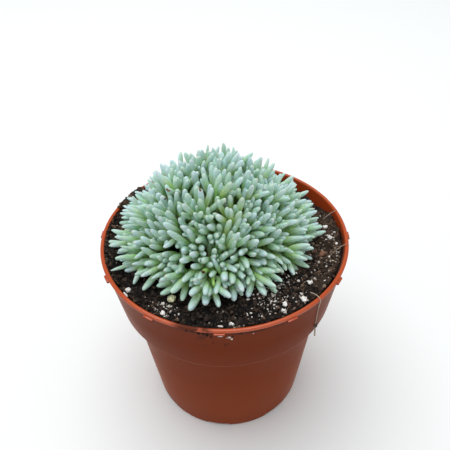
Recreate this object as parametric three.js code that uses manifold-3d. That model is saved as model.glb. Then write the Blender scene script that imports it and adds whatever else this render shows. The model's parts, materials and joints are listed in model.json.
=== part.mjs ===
// A tufted ice plant, Delosperma sphalmantoides, grown in a round plastic nursery pot.
// Millimetres, +Z up. The origin is on the surface that the pot stands on, on the pot's axis.
// The camera side of the photograph is -Y, so the front of the pot faces -Y.

import * as THREE from "three";
import { mergeGeometries, mergeVertices } from "three/addons/utils/BufferGeometryUtils.js";
import Module from "manifold-3d";

const wasm = await Module();
wasm.setup();

// Driving dimensions
const RIM_RADIUS = 45; // outside of the lip
const POT_HEIGHT = 81;
const WALL = 1.2;
const COLLAR_HEIGHT = 24.4; // from the top of the lip down to the step
const COLLAR_TOP_RADIUS = 44.4;
const COLLAR_FOOT_RADIUS = 41.2;
const BODY_TOP_RADIUS = 37.6;
const BASE_RADIUS = 31.8;
const SOIL_LEVEL = 79.2;
const CUSHION = { x: -2.8, y: 1.7, radius: 40.2, foot: 81.2, rise: 33.1 };
const LEAF_LENGTH = 9.9;
const LEAF_RADIUS = 1.54;
const SHOOTS = 72;
const BRANCHES = 24;
const FIT_GAP = 0.35; // left between pieces that touch on the real plant

// Seeded draws from 0 to 1, and one between two limits
const DRAW_FACTOR = 48271;
const DRAW_MODULUS = 2147483647;

function drawsFrom(seed) {
  let state = seed;
  return () => {
    state = (state * DRAW_FACTOR) % DRAW_MODULUS;
    return state / DRAW_MODULUS;
  };
}

const between = (draw, low, high) => low + (high - low) * draw();
const radians = THREE.MathUtils.degToRad;

// Solids
function solidOf(geometry) {
  const bare = geometry.clone();
  bare.deleteAttribute("normal");
  bare.deleteAttribute("uv");
  const merged = mergeVertices(bare, 1e-4);
  const mesh = new wasm.Mesh({
    numProp: 3,
    vertProperties: new Float32Array(merged.attributes.position.array),
    triVerts: new Uint32Array(merged.index.array),
  });
  return new wasm.Manifold(mesh);
}

function geometryOf(solid) {
  const mesh = solid.getMesh();
  const geometry = new THREE.BufferGeometry();
  geometry.setAttribute("position", new THREE.BufferAttribute(mesh.vertProperties, mesh.numProp));
  geometry.setIndex(new THREE.BufferAttribute(mesh.triVerts, 1));
  return geometry;
}

// A profile of [radius, height] points turned about +Z
function turned(profile, sectors) {
  const points = profile.map(([radius, height]) => new THREE.Vector2(radius, height));
  return new THREE.LatheGeometry(points, sectors).rotateX(Math.PI / 2);
}

// A skin through rings of points, from its top ring down; every ring holds the same number of points,
// counter-clockwise seen from the top, and a ring whose points are all one point closes that end
function skin(rings) {
  const sides = rings[0].length;
  const geometry = new THREE.CylinderGeometry(1, 1, 1, sides, rings.length - 1, true);
  const position = geometry.attributes.position;
  for (let i = 0; i < position.count; i += 1) {
    const point = rings[Math.floor(i / (sides + 1))][(i % (sides + 1)) % sides];
    position.setXYZ(i, point.x, point.y, point.z);
  }
  return geometry;
}

// A ring of points about a centre, square to ahead, with its first point turned towards first
function ring(centre, ahead, first, radius, sides) {
  const side = first.clone().addScaledVector(ahead, -first.dot(ahead)).normalize();
  const across = ahead.clone().cross(side);
  return Array.from({ length: sides }, (_, k) => {
    const turn = (k * 2 * Math.PI) / sides;
    return centre.clone()
      .addScaledVector(side, radius * Math.cos(turn))
      .addScaledVector(across, radius * Math.sin(turn));
  });
}

// The rings of a bar along a path, from its last point down to its first
function barRings(path, radii, first, sides) {
  const last = path.length - 1;
  const rings = path.map((centre, step) => {
    const ahead = path[Math.min(step + 1, last)].clone().sub(path[Math.max(step - 1, 0)]).normalize();
    return ring(centre, ahead, first, radii[step], sides);
  });
  return rings.reverse();
}

// The pot: one thin moulded wall with a lip, a collar that steps in, a foot ring with drain notches,
// twelve small lugs under the lip that keep stacked pots apart, and drain holes in the floor
const POT_SECTORS = 48;
const LIP = { height: 1.0, width: 1.4, bevel: 0.35 };
const FLOOR = { underside: 2.6, top: 3.9 };
const FOOT_RING = { inner: 27.7, outer: 31.2 };
const LUGS = { count: 12, turn: radians(-3), width: 3.6, reach: 0.6, thickness: 0.8 };
const NOTCHES = { count: 8, turn: radians(-54), width: 9, height: 1.5 };
const DRAINS = { count: 8, ring: 21, radius: 2.6 };
const COLLAR_FOOT = POT_HEIGHT - COLLAR_HEIGHT;

function potProfile() {
  const lipFoot = POT_HEIGHT - LIP.height;
  return [
    [0, FLOOR.underside],
    [FOOT_RING.inner, FLOOR.underside],
    [FOOT_RING.inner + 0.6, 0],
    [FOOT_RING.outer, 0],
    [BASE_RADIUS, 1],
    [BODY_TOP_RADIUS, COLLAR_FOOT - 0.9],
    [COLLAR_FOOT_RADIUS - 0.5, COLLAR_FOOT],
    [COLLAR_FOOT_RADIUS, COLLAR_FOOT + 0.7],
    [COLLAR_TOP_RADIUS, lipFoot],
    [RIM_RADIUS, lipFoot],
    [RIM_RADIUS, POT_HEIGHT - LIP.bevel],
    [RIM_RADIUS - LIP.bevel, POT_HEIGHT],
    [RIM_RADIUS - LIP.width + LIP.bevel, POT_HEIGHT],
    [RIM_RADIUS - LIP.width, POT_HEIGHT - LIP.bevel],
    [COLLAR_FOOT_RADIUS - WALL, COLLAR_FOOT + 1.2],
    [BODY_TOP_RADIUS - WALL, COLLAR_FOOT + 0.1],
    [BASE_RADIUS - WALL, FLOOR.top + 0.6],
    [BASE_RADIUS - WALL - 0.7, FLOOR.top],
    [0, FLOOR.top],
  ];
}

function aroundAxis(count, turn, radius, height, makeSolid) {
  return Array.from({ length: count }, (_, k) => {
    const angle = turn + (k * 2 * Math.PI) / count;
    const geometry = makeSolid().rotateZ(angle);
    return solidOf(geometry.translate(radius * Math.cos(angle), radius * Math.sin(angle), height));
  });
}

function makePot() {
  const wall = solidOf(turned(potProfile(), POT_SECTORS));
  const lugTop = POT_HEIGHT - LIP.height;
  const lugDepth = RIM_RADIUS + LUGS.reach - COLLAR_TOP_RADIUS + 0.9;
  const lugs = aroundAxis(LUGS.count, LUGS.turn, COLLAR_TOP_RADIUS - 0.9 + lugDepth / 2, lugTop + 0.1 - LUGS.thickness / 2,
    () => new THREE.BoxGeometry(lugDepth, LUGS.width, LUGS.thickness));
  const notches = aroundAxis(NOTCHES.count, NOTCHES.turn, FOOT_RING.outer - 1, 0,
    () => new THREE.BoxGeometry(12, NOTCHES.width, 2 * NOTCHES.height));
  const drains = aroundAxis(DRAINS.count, 0, DRAINS.ring, (FLOOR.underside + FLOOR.top) / 2,
    () => new THREE.CylinderGeometry(DRAINS.radius, DRAINS.radius, 4, 8).rotateX(Math.PI / 2));
  const cuts = wasm.Manifold.union([...notches, ...drains]);
  return wasm.Manifold.union([wall, ...lugs]).subtract(cuts);
}

// The growing cushion, worked out before any solid: shoots stand on a dome, three or so to a branch,
// and each shoot carries three pairs of finger leaves, which are bent clear of their neighbours
const GOLDEN_ANGLE = Math.PI * (3 - Math.sqrt(5));
const FRINGE_LEAN = radians(95); // how far the lowest shoots lean over
const LEAN_GROWTH = 2.1;
const OUTLINE = { swell: 1.5, turn: radians(17) }; // the cushion is a little longer one way than the other
const FOOT_DISC = 14; // the stems enter the soil inside this radius

const WALL_LIMIT = RIM_RADIUS - LIP.width - 0.5; // the pot's inside at the height of the lowest leaves
const TIP_LIMIT = WALL_LIMIT - 1.5; // from the pot's axis

// A point on the dome, at a share of its radius from the middle
function domePoint(share, azimuth) {
  const radius = share * (CUSHION.radius + OUTLINE.swell * Math.cos(2 * (azimuth - OUTLINE.turn)));
  const x = CUSHION.x + radius * Math.cos(azimuth);
  const y = CUSHION.y + radius * Math.sin(azimuth);
  const inside = Math.min(1, TIP_LIMIT / Math.hypot(x, y));
  return new THREE.Vector3(x * inside, y * inside, CUSHION.foot + CUSHION.rise * (1 - share ** 2) ** 1.22);
}

function direction(lean, azimuth) {
  return new THREE.Vector3(
    Math.sin(lean) * Math.cos(azimuth),
    Math.sin(lean) * Math.sin(azimuth),
    Math.cos(lean),
  );
}

// Spreads places evenly over the dome, whose area outside grows faster than on a flat disc
function spiralPlace(k, count) {
  const steepness = (2 * CUSHION.rise) / CUSHION.radius;
  const whole = (1 + steepness ** 2) ** 1.5 - 1;
  const share = Math.sqrt((1 + ((k + 0.5) / count) * whole) ** (2 / 3) - 1) / steepness;
  return { share, azimuth: k * GOLDEN_ANGLE };
}

const PAIRS = [
  { spread: 30, length: 1, radius: 1 },
  { spread: 12, length: 0.86, radius: 0.92 },
  { spread: 21, length: 0.95, radius: 0.98 },
];
const LEAVES_OF_SHOOT = 2 * PAIRS.length;
const LEAF_ROOT_OFFSET = 1.2; // from the shoot's axis
const BOW = 0.45; // how far a leaf's middle bows out

const SWAY = 0.28; // how far a shoot turns aside from the dome's own direction

function makeShoots() {
  const draw = drawsFrom(11);
  return Array.from({ length: SHOOTS }, (_, k) => {
    const place = spiralPlace(k, SHOOTS);
    const share = Math.min(place.share + between(draw, -0.02, 0.02), 0.99);
    const azimuth = place.azimuth + between(draw, -0.03, 0.03) / Math.max(place.share, 0.25);
    const outward = direction(FRINGE_LEAN * share ** LEAN_GROWTH, azimuth);
    const reach = LEAF_LENGTH * between(draw, 0.9, 1.08);
    const base = domePoint(share, azimuth).addScaledVector(outward, -LEAF_LENGTH);
    const sway = new THREE.Vector3(between(draw, -1, 1), between(draw, -1, 1), between(draw, -1, 1));
    const axis = outward.addScaledVector(sway, SWAY).normalize();
    return { axis, reach, base, roll: between(draw, 0, Math.PI), leaves: [] };
  });
}

function makeLeaves(shoots) {
  const draw = drawsFrom(77);
  const leaves = [];
  shoots.forEach((shoot, owner) => {
    const side = new THREE.Vector3(0, 0, 1).cross(shoot.axis).normalize();
    const across = shoot.axis.clone().cross(side);
    for (let k = 0; k < LEAVES_OF_SHOOT; k += 1) {
      const pair = PAIRS[k % PAIRS.length];
      const turn = shoot.roll + (k * 2 * Math.PI) / LEAVES_OF_SHOOT;
      const out = side.clone().multiplyScalar(Math.cos(turn)).addScaledVector(across, Math.sin(turn));
      const spread = radians(pair.spread + between(draw, -6, 6));
      const length = shoot.reach * pair.length * between(draw, 0.9, 1.07);
      const radius = LEAF_RADIUS * pair.radius * between(draw, 0.92, 1.08);
      const root = shoot.base.clone().addScaledVector(out, LEAF_ROOT_OFFSET);
      const tip = root.clone().addScaledVector(shoot.axis, length * Math.cos(spread))
        .addScaledVector(out, length * Math.sin(spread));
      const bow = out.clone().multiplyScalar(BOW * between(draw, 0.2, 1.4));
      const leaf = { owner, root, tip, wish: tip.clone(), out, bow, length, radius };
      leaves.push(leaf);
      shoot.leaves.push(leaf);
    }
  });
  return leaves;
}

function leafPoint(leaf, share) {
  return leaf.root.clone().lerp(leaf.tip, share).addScaledVector(leaf.bow, 4 * share * (1 - share));
}

// Branches: each holds the shoots nearest to its own place on the dome
function makeBranches(shoots) {
  const branches = Array.from({ length: BRANCHES }, (_, k) => {
    const { share, azimuth } = spiralPlace(k, BRANCHES);
    const foot = new THREE.Vector3(
      CUSHION.x + FOOT_DISC * share * Math.cos(azimuth),
      CUSHION.y + FOOT_DISC * share * Math.sin(azimuth),
      SOIL_LEVEL,
    );
    const outward = direction(FRINGE_LEAN * share ** LEAN_GROWTH, azimuth);
    return { middle: domePoint(share, azimuth).addScaledVector(outward, -LEAF_LENGTH), foot, shoots: [] };
  });
  shoots.forEach((shoot) => {
    const distances = branches.map((branch) => branch.middle.distanceTo(shoot.base));
    shoot.branch = distances.indexOf(Math.min(...distances));
    branches[shoot.branch].shoots.push(shoot);
  });
  return branches;
}

const FOOT_DEPTH = 4; // how deep a stem stands in the soil
const STEM = { foot: 1.1, fork: 0.95, twig: 0.85 };
const HEAD = { foot: -4.5, middle: 0.5, seam: 0, edge: -0.6, radius: 2.15 }; // the joined leaf roots
const CLEAR_OF_SOIL = 1.9; // a stem rises straight up to here before it leans out
const FORK_SHARE = 0.55; // how far along the way to its shoots a branch forks

function branchPaths(branch) {
  const middle = new THREE.Vector3();
  branch.shoots.forEach((shoot) => middle.addScaledVector(shoot.base, 1 / branch.shoots.length));
  const neck = branch.foot.clone().setZ(SOIL_LEVEL + CLEAR_OF_SOIL);
  const fork = neck.clone().lerp(middle, FORK_SHARE);
  const toe = branch.foot.clone().setZ(SOIL_LEVEL - FOOT_DEPTH);
  const trunk = { path: [toe, neck, fork], radii: [STEM.foot, STEM.foot, STEM.fork] };
  const twigs = branch.shoots.map((shoot) => [fork, shoot.base.clone().addScaledVector(shoot.axis, HEAD.foot)]);
  return { trunk, twigs };
}

// Perlite and bark grains that lie on the soil: where they lie, how wide they are and what they are
const GRAINS = [
  { name: "perlite_cream", x: -17.8, y: -29.9, width: 3.2 },
  { name: "perlite_left", x: -32.5, y: -25.5, width: 2.4 },
  { name: "perlite_right_front", x: 25.3, y: -32.0, width: 2.6 },
  { name: "perlite_front_a", x: 18.9, y: -33.5, width: 1.9 },
  { name: "perlite_front_b", x: 18.3, y: -36.3, width: 2.1 },
  { name: "perlite_right_back_a", x: 37.9, y: 3.3, width: 2.2 },
  { name: "perlite_right_back_b", x: 38.3, y: -3.2, width: 2.0 },
  { name: "perlite_right_back_c", x: 35.7, y: 0.2, width: 1.8 },
  { name: "perlite_right", x: 28.1, y: -24.9, width: 1.9 },
  { name: "perlite_rim_front", x: 1.6, y: -41.2, width: 2.0 },
  { name: "perlite_rim_left", x: -20.2, y: -35.9, width: 2.0 },
  { name: "bark_chip_right", x: 34.3, y: -11.3, width: 2.7 },
  { name: "bark_chip_back", x: 23.9, y: 24.8, width: 2.6 },
];
const GRAIN_RISE = 0.15; // how far above the soil a grain's middle lies, as a share of its width

function grainCentre(grain) {
  return new THREE.Vector3(grain.x, grain.y, SOIL_LEVEL + soilLump(grain.x, grain.y) + GRAIN_RISE * grain.width);
}

// The soil's surface: flat under the cushion, lumpy where it shows, with a hollow at the back right
const LUMP_HEIGHT = 0.42;
const HOLLOW = { x: 33, y: 24, depth: 2.8, floor: 5, reach: 20 };

function soilLump(x, y) {
  const away = Math.hypot(x - CUSHION.x, y - CUSHION.y);
  const rough = THREE.MathUtils.smoothstep(away, FOOT_DISC + 2, FOOT_DISC + 12);
  const wave = Math.sin(1.31 * x + 2.1) * Math.cos(1.17 * y - 0.6) + Math.sin(0.83 * y + 1.9 * x + 0.4)
    + 0.8 * Math.cos(2.3 * y - 1.1 * x);
  const beside = Math.hypot(x - HOLLOW.x, y - HOLLOW.y);
  const sunk = HOLLOW.depth * (1 - THREE.MathUtils.smoothstep(beside, HOLLOW.floor, HOLLOW.reach));
  return rough * (LUMP_HEIGHT * wave * 0.5 - sunk);
}

// Bends the leaves clear of each other, of other branches' stems, of the soil, the grains and the rim
const SAMPLES = [
  { share: 0.26, girth: 0.74 },
  { share: 0.5, girth: 0.96 },
  { share: 0.7, girth: 0.96 },
  { share: 0.9, girth: 0.76 },
];
const ROUNDS = 160;
const STEP = 0.4; // share of each overlap that one round takes away
const HOME_PULL = 0.015; // share of the way back to its own place that a leaf takes each round
const SOIL_CLEARANCE = 0.8;
const NEIGHBOUR_REACH = 12;
const KIN_GAP = 0.15;
const TIP_SPACING = 4.4;
const TIP_STEP = 0.1;

function pushApart(leafA, leafB, pushes, a, b) {
  const kin = leafA.owner === leafB.owner;
  SAMPLES.forEach((sampleA, i) => {
    SAMPLES.forEach((sampleB, j) => {
      const between_ = leafPoint(leafA, sampleA.share).sub(leafPoint(leafB, sampleB.share));
      const room = sampleA.girth * leafA.radius + sampleB.girth * leafB.radius + (kin ? KIN_GAP : FIT_GAP);
      const distance = between_.length();
      if (distance >= room) return;
      between_.multiplyScalar((STEP * (room - distance)) / distance / 2);
      pushes[a].addScaledVector(between_, 1 / sampleA.share);
      pushes[b].addScaledVector(between_, -1 / sampleB.share);
    });
  });
  const apart = leafA.tip.clone().sub(leafB.tip);
  const distance = apart.length();
  if (distance >= TIP_SPACING) return;
  apart.multiplyScalar((TIP_STEP * (TIP_SPACING - distance)) / distance);
  pushes[a].add(apart);
  pushes[b].sub(apart);
}

function pushOff(leaf, obstacle, push) {
  if (obstacle.owner === leaf.owner) return;
  SAMPLES.forEach((sample) => {
    const away = leafPoint(leaf, sample.share).sub(obstacle.centre);
    const room = sample.girth * leaf.radius + obstacle.radius + FIT_GAP;
    const distance = away.length();
    if (distance < room) push.addScaledVector(away, (STEP * (room - distance)) / distance / sample.share);
  });
}

function keepInside(leaf, push) {
  SAMPLES.forEach((sample) => {
    const point = leafPoint(leaf, sample.share);
    const girth = sample.girth * leaf.radius;
    const low = SOIL_LEVEL + SOIL_CLEARANCE + girth - point.z;
    if (low > 0) push.z += (STEP * low) / sample.share;
    const reach = Math.hypot(point.x, point.y);
    const over = reach - (WALL_LIMIT - girth - FIT_GAP);
    if (over > 0) push.addScaledVector(point.setZ(0), (-STEP * over) / reach / sample.share);
  });
}

// Slims the leaves that are still too near to another shoot's leaf or stem
const SLIM_SAMPLES = Array.from({ length: 9 }, (_, k) => {
  const share = 0.12 + 0.11 * k;
  return { share, girth: share < 0.5 ? 0.68 + 0.64 * share : 1 - 0.9 * Math.max(share - 0.62, 0) };
});
const SLIMMEST = 0.62;

function slim(leaves, obstacles) {
  const factors = leaves.map(() => 1);
  leaves.forEach((leafA, a) => {
    SLIM_SAMPLES.forEach((sampleA) => {
      const point = leafPoint(leafA, sampleA.share);
      const girth = sampleA.girth * leafA.radius;
      factors[a] = Math.min(factors[a], (WALL_LIMIT - FIT_GAP - Math.hypot(point.x, point.y)) / girth);
      leaves.forEach((leafB, b) => {
        if (b <= a || leafA.owner === leafB.owner || leafB.root.distanceTo(point) > 2 * LEAF_LENGTH) return;
        SLIM_SAMPLES.forEach((sampleB) => {
          const room = point.distanceTo(leafPoint(leafB, sampleB.share)) - FIT_GAP;
          const share = room / (girth + sampleB.girth * leafB.radius);
          factors[a] = Math.min(factors[a], share);
          factors[b] = Math.min(factors[b], share);
        });
      });
      obstacles.forEach((obstacle) => {
        if (obstacle.owner === leafA.owner) return;
        const room = point.distanceTo(obstacle.centre) - obstacle.radius - FIT_GAP;
        factors[a] = Math.min(factors[a], room / girth);
      });
    });
  });
  leaves.forEach((leaf, k) => {
    leaf.radius *= Math.max(factors[k], SLIMMEST);
  });
}

function obstaclesFrom(shoots, branches) {
  const obstacles = GRAINS.map((grain) => ({ owner: -1, centre: grainCentre(grain), radius: grain.width / 2 }));
  branches.forEach((branch) => {
    branchPaths(branch).twigs.forEach((twig, k) => {
      const owner = shoots.indexOf(branch.shoots[k]);
      [0, 0.35, 0.7, 1].forEach((share) => {
        const centre = twig[1].clone().lerp(branch.shoots[k].base, share);
        obstacles.push({ owner, centre, radius: THREE.MathUtils.lerp(STEM.twig, HEAD.radius, share) });
      });
    });
  });
  return obstacles;
}

function settle(leaves, obstacles) {
  const neighbours = [];
  leaves.forEach((leafA, a) => {
    leaves.forEach((leafB, b) => {
      if (b > a && leafA.wish.distanceTo(leafB.wish) < NEIGHBOUR_REACH) neighbours.push([a, b]);
    });
  });
  const near = leaves.map((leaf) => obstacles.filter((o) => o.centre.distanceTo(leaf.wish) < NEIGHBOUR_REACH));
  for (let round = 0; round < ROUNDS; round += 1) {
    const pushes = leaves.map(() => new THREE.Vector3());
    neighbours.forEach(([a, b]) => pushApart(leaves[a], leaves[b], pushes, a, b));
    leaves.forEach((leaf, k) => {
      near[k].forEach((obstacle) => pushOff(leaf, obstacle, pushes[k]));
      keepInside(leaf, pushes[k]);
      leaf.tip.add(pushes[k]).addScaledVector(leaf.wish.clone().sub(leaf.tip), HOME_PULL);
      leaf.tip.sub(leaf.root).setLength(leaf.length).add(leaf.root);
    });
  }
}

// A leaf: a four-sided finger on its own sector of the shoot's head, thickest past its middle, then blunt
const LEAF_RINGS = [{ share: 0.87, girth: 0.86 }, { share: 0.55, girth: 1 }];

function makeLeaf(leaf, sector) {
  const ahead = leaf.tip.clone().sub(leaf.root).normalize();
  const inward = leaf.out.clone().negate();
  const rings = LEAF_RINGS.map(({ share, girth }) => ring(leafPoint(leaf, share), ahead, inward, girth * leaf.radius, 4));
  return skin([Array(4).fill(leaf.tip), ...rings, sector]);
}

// A shoot: its leaves grow from the sectors of its head, and its twig widens up to that head
function makeShoot(shoot, fork) {
  const { axis, base, leaves: ownLeaves } = shoot;
  const corners = 2 * LEAVES_OF_SHOOT;
  const foot = base.clone().addScaledVector(axis, HEAD.foot);
  const middle = base.clone().addScaledVector(axis, HEAD.middle);
  const edge = ring(base, axis, ownLeaves[0].out, HEAD.radius, corners)
    .map((point, k) => point.addScaledVector(axis, k % 2 ? HEAD.seam : HEAD.edge));
  const fingers = ownLeaves.map((leaf, k) => (
    makeLeaf(leaf, [middle, edge[(2 * k + corners - 1) % corners], edge[2 * k], edge[2 * k + 1]])
  ));
  const twig = barRings([fork, foot], [STEM.twig, STEM.twig], ownLeaves[0].out, 4)
    .map((ringPoints) => ringPoints.flatMap((point) => Array(corners / 4).fill(point)));
  return solidOf(mergeGeometries([...fingers, skin([edge, ...twig, Array(corners).fill(fork)])]));
}

function makeBranch(branch) {
  const { trunk } = branchPaths(branch);
  const along = new THREE.Vector3(1, 0, 0);
  const rings = barRings(trunk.path, trunk.radii, along, 4);
  const ends = [trunk.path[2], trunk.path[0]].map((point) => Array(4).fill(point));
  const stem = solidOf(skin([ends[0], ...rings, ends[1]]));
  return wasm.Manifold.union([stem, ...branch.shoots.map((shoot) => makeShoot(shoot, trunk.path[2]))]);
}

// The soil: fills the pot, with a plain hole for each stem and a hollow for each grain
const SOIL_SECTORS = 36;
const SOIL_RINGS = [40, 36, 31, 24];
const EDGE_DROP = 0.4; // how far the soil's edge lies below its top

function makeGrain(grain, growth) {
  const seed = Math.round(Math.abs(grain.x * 131 + grain.y * 17) * 10) + 7;
  const draw = drawsFrom(seed);
  const half = grain.width / 2;
  const geometry = new THREE.IcosahedronGeometry(1, 0);
  geometry.scale(half * between(draw, 0.9, 1.15), half * between(draw, 0.85, 1.1), half * between(draw, 0.75, 0.95));
  geometry.rotateZ(between(draw, 0, Math.PI)).scale(1 + growth / half, 1 + growth / half, 1 + growth / half);
  const centre = grainCentre(grain);
  return solidOf(geometry.translate(centre.x, centre.y, centre.z));
}

function makeSoil(branches) {
  const fit = WALL + FIT_GAP;
  const wallSlope = (RIM_RADIUS - LIP.width - COLLAR_FOOT_RADIUS + WALL) / COLLAR_HEIGHT;
  const edge = RIM_RADIUS - LIP.width - (POT_HEIGHT - SOIL_LEVEL) * wallSlope - FIT_GAP - 0.2;
  const top = SOIL_RINGS.map((radius) => [radius, SOIL_LEVEL]);
  const geometry = turned([
    [0, FLOOR.top + FIT_GAP],
    [BASE_RADIUS - fit - 0.8, FLOOR.top + FIT_GAP],
    [BODY_TOP_RADIUS - fit, COLLAR_FOOT + 0.2],
    [COLLAR_FOOT_RADIUS - fit, COLLAR_FOOT + 1.6],
    [edge, SOIL_LEVEL - EDGE_DROP],
    ...top,
    [0, SOIL_LEVEL],
  ], SOIL_SECTORS);
  const position = geometry.attributes.position;
  for (let i = 0; i < position.count; i += 1) {
    const height = position.getZ(i);
    if (height < SOIL_LEVEL - EDGE_DROP - 0.1) continue;
    const lump = soilLump(position.getX(i), position.getY(i));
    const atEdge = height < SOIL_LEVEL - EDGE_DROP / 2;
    const inwards = atEdge ? 1 - (Math.max(0, -lump) * wallSlope) / edge : 1;
    position.setXYZ(i, position.getX(i) * inwards, position.getY(i) * inwards, height + lump);
  }
  const hole = STEM.foot + FIT_GAP;
  const depth = FOOT_DEPTH + FIT_GAP;
  const holes = branches.map(({ foot }) => solidOf(
    new THREE.CylinderGeometry(hole, hole, 2 * depth, 6).rotateX(Math.PI / 2).translate(foot.x, foot.y, SOIL_LEVEL),
  ));
  const hollows = GRAINS.map((grain) => makeGrain(grain, FIT_GAP));
  return solidOf(geometry).subtract(wasm.Manifold.union([...holes, ...hollows]));
}

// Materials
const finishes = {
  pot: new THREE.MeshStandardMaterial({ color: 0x9a4c30, roughness: 0.5, metalness: 0 }),
  soil: new THREE.MeshStandardMaterial({ color: 0x2b211c, roughness: 0.95, metalness: 0 }),
  leaf: new THREE.MeshStandardMaterial({ color: 0x8fb5a4, roughness: 0.6, metalness: 0 }),
  perlite: new THREE.MeshStandardMaterial({ color: 0xe9e6dc, roughness: 0.9, metalness: 0 }),
  bark: new THREE.MeshStandardMaterial({ color: 0x8a5a3c, roughness: 0.9, metalness: 0 }),
};

function piece(name, solid, material) {
  const mesh = new THREE.Mesh(geometryOf(solid), material);
  mesh.name = name;
  return mesh;
}

const shoots = makeShoots();
const leaves = makeLeaves(shoots);
const branches = makeBranches(shoots);
const obstacles = obstaclesFrom(shoots, branches);
settle(leaves, obstacles);
slim(leaves, obstacles);

const plant = new THREE.Group();
branches.forEach((branch, k) => {
  const name = `leafy_branch_${String(k + 1).padStart(2, "0")}`;
  plant.add(piece(name, makeBranch(branch), finishes.leaf));
});

const grains = new THREE.Group();
GRAINS.forEach((grain) => {
  const material = grain.name.startsWith("bark") ? finishes.bark : finishes.perlite;
  grains.add(piece(grain.name, makeGrain(grain, 0), material));
});

const pottedPlant = new THREE.Group();
pottedPlant.add(piece("pot", makePot(), finishes.pot));
pottedPlant.add(piece("soil", makeSoil(branches), finishes.soil));
pottedPlant.add(plant, grains);

export default pottedPlant;
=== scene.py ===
import json
import math
import random

import bpy
from mathutils import Matrix, Vector, noise
from mathutils.bvhtree import BVHTree
from mathutils.kdtree import KDTree

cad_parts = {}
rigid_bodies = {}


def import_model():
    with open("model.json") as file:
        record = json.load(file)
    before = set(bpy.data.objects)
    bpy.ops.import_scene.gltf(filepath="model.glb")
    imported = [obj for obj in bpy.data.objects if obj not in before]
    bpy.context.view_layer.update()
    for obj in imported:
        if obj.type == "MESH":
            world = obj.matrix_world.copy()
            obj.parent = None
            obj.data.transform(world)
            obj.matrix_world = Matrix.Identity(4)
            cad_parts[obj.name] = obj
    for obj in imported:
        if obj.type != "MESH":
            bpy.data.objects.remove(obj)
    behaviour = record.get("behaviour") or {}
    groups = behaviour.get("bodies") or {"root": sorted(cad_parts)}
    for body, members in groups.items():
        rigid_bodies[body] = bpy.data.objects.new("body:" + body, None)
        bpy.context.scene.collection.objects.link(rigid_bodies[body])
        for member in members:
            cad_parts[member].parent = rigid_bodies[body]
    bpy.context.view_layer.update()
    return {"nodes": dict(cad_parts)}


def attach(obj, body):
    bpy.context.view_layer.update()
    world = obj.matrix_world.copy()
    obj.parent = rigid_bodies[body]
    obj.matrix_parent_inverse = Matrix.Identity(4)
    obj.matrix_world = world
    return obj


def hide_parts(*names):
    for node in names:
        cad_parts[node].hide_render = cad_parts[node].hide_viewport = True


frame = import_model()
bpy.ops.object.select_all(action="DESELECT")


# The camera
# Held in front of the pot, 41 degrees above it and close by, and a touch askew. Lengths are in
# millimetres times MM, apart from the floor's and the light's, which are in metres.
MM = 0.001
CAMERA_PLACE = (0.42, -142.54, 208.36)
ELEVATION = 0.715
ASKEW = -0.031

bpy.ops.object.camera_add()
camera = bpy.context.object
camera.data.sensor_width = 36
camera.data.lens = 41.673
camera.matrix_world = (
    Matrix.Translation(Vector(CAMERA_PLACE) * MM)
    @ Matrix.Rotation(math.pi / 2 - ELEVATION, 4, "X")
    @ Matrix.Rotation(ASKEW, 4, "Z")
)
bpy.context.scene.camera = camera


# The studio
# A plain white floor under a wide soft light from above and from the left, with white all round, so that the
# shadow falls to the right and the background is nearly white.
class Reading:
    """What a socket gives at each point of a surface. Sums on it are worked out in the material."""

    def __init__(self, tree, socket):
        self.tree = tree
        self.socket = socket

    def node(self, kind, settings, inputs, output=0):
        """Adds a node: its settings first, then the values or links of its sockets"""
        node = self.tree.nodes.new(kind)
        for name, value in settings.items():
            if name == "stops":
                ramp = node.color_ramp.elements
                ramp[0].position = value[0][0]
                ramp[1].position = value[-1][0]
                for position, _ in value[1:-1]:
                    ramp.new(position)
                for element, (_, colour) in zip(ramp, value):
                    element.color = (*colour, 1)
            else:
                setattr(node, name, value)
        for name, value in inputs.items():
            if isinstance(value, Reading):
                self.tree.links.new(value.socket, node.inputs[name])
            else:
                node.inputs[name].default_value = value
        return Reading(self.tree, node.outputs[output])

    def maths(self, operation, *values):
        return self.node("ShaderNodeMath", {"operation": operation}, dict(enumerate(values)))

    def __add__(self, other):
        return self.maths("ADD", self, other)

    def __sub__(self, other):
        return self.maths("SUBTRACT", self, other)

    def __rsub__(self, other):
        return self.maths("SUBTRACT", other, self)

    def __mul__(self, other):
        return self.maths("MULTIPLY", self, other)

    __radd__ = __add__
    __rmul__ = __mul__

    def between(self, low, high):
        """0 below low, 1 above high, and smooth from one to the other"""
        inputs = {"Value": self, "From Min": low, "From Max": high}
        return self.node("ShaderNodeMapRange", {"interpolation_type": "SMOOTHSTEP"}, inputs)

    def mix(self, low, high):
        """The colour low where this is 0 and high where it is 1"""
        ends = [colour if isinstance(colour, Reading) else (*colour, 1) for colour in (low, high)]
        return self.node("ShaderNodeMix", {"data_type": "RGBA"}, {0: self, 6: ends[0], 7: ends[1]}, 2)

    def part(self, axis):
        """One coordinate of a place, 0, 1 or 2, in millimetres"""
        return self.node("ShaderNodeSeparateXYZ", {}, {0: self}, axis) * (1 / MM)

    def attribute(self, name):
        """A value that the mesh was marked with"""
        return self.node("ShaderNodeAttribute", {"attribute_name": name}, {}, 2)

    def grain(self, size, detail=2.0, roughness=0.5):
        """Clouds with lumps about size millimetres across, from 0 to 1"""
        inputs = {"Vector": self, "Scale": 1 / (size * MM), "Detail": detail, "Roughness": roughness}
        return self.node("ShaderNodeTexNoise", {}, inputs)

    def cells(self, size):
        """Distance from the middle of cells about size millimetres across"""
        return self.node("ShaderNodeTexVoronoi", {}, {"Vector": self, "Scale": 1 / (size * MM)}, "Distance")

    def bump(self, height):
        """A relief whose height is height millimetres where this is 1"""
        inputs = {"Height": self, "Distance": height * MM, "Strength": 1.0}
        return self.node("ShaderNodeBump", {}, inputs)


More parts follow.
